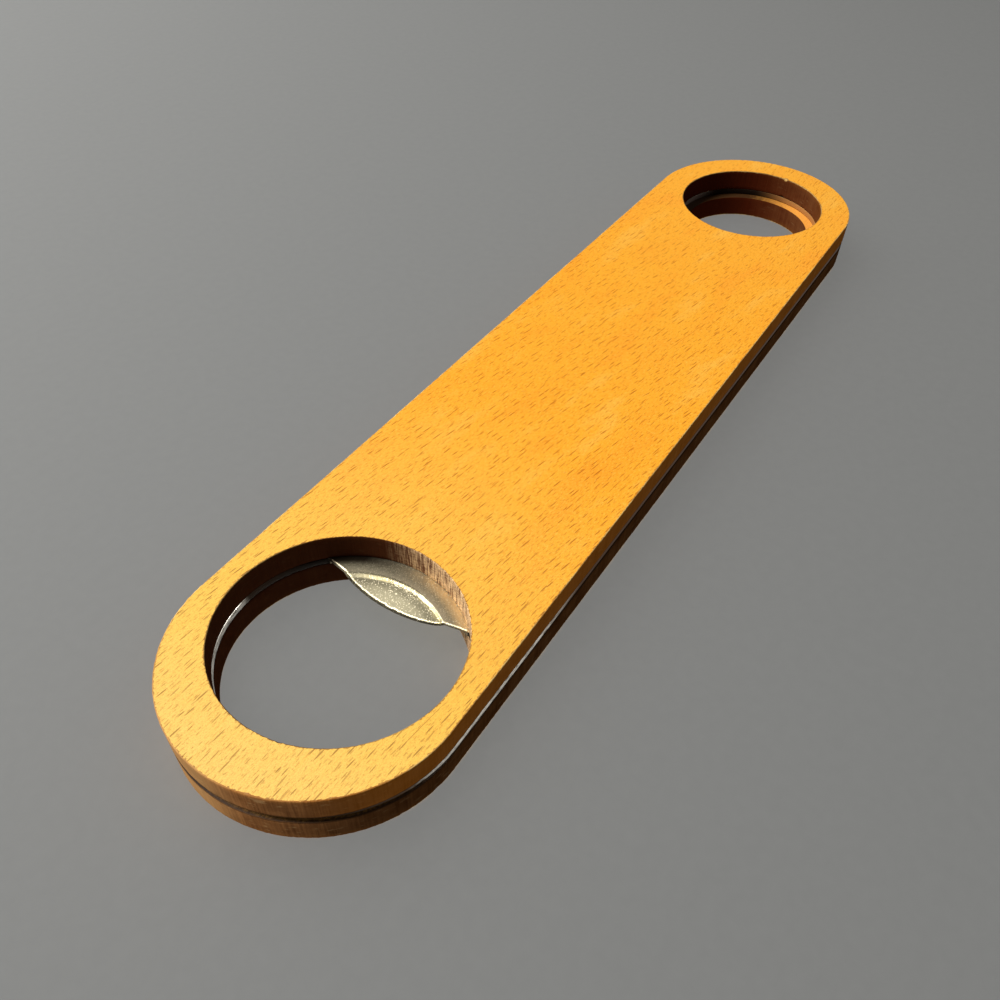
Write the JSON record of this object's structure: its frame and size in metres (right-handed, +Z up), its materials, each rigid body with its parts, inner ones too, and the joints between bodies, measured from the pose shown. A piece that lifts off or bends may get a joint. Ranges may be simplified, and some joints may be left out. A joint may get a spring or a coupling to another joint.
{
  "type": "laminated wooden bottle opener",
  "caption": "Flat bar bottle opener: steel blade with a cap hole and pressed lip, glued between wooden scales, with a hanging hole.",
  "frame": {"origin": "middle of the length and width, on the face of the lower wooden scale that the opener rests on", "axes": "+X along the length from the opener head to the hanging hole, +Z up through the laminate, +Y across the width"},
  "size_m": [0.18, 0.04, 0.009],
  "materials": {
    "beech": "oiled golden beech with short dark ray flecks; laser-charred brown edges",
    "stainless": "satin stainless steel, finely speckled",
    "adhesive": "dark thin glue film"
  },
  "bodies": {
    "root": {"bottom_scale": "beech", "lower_adhesive_film": "adhesive", "opener_blade": "stainless", "upper_adhesive_film": "adhesive", "top_scale": "beech"}
  },
  "joints": []
}
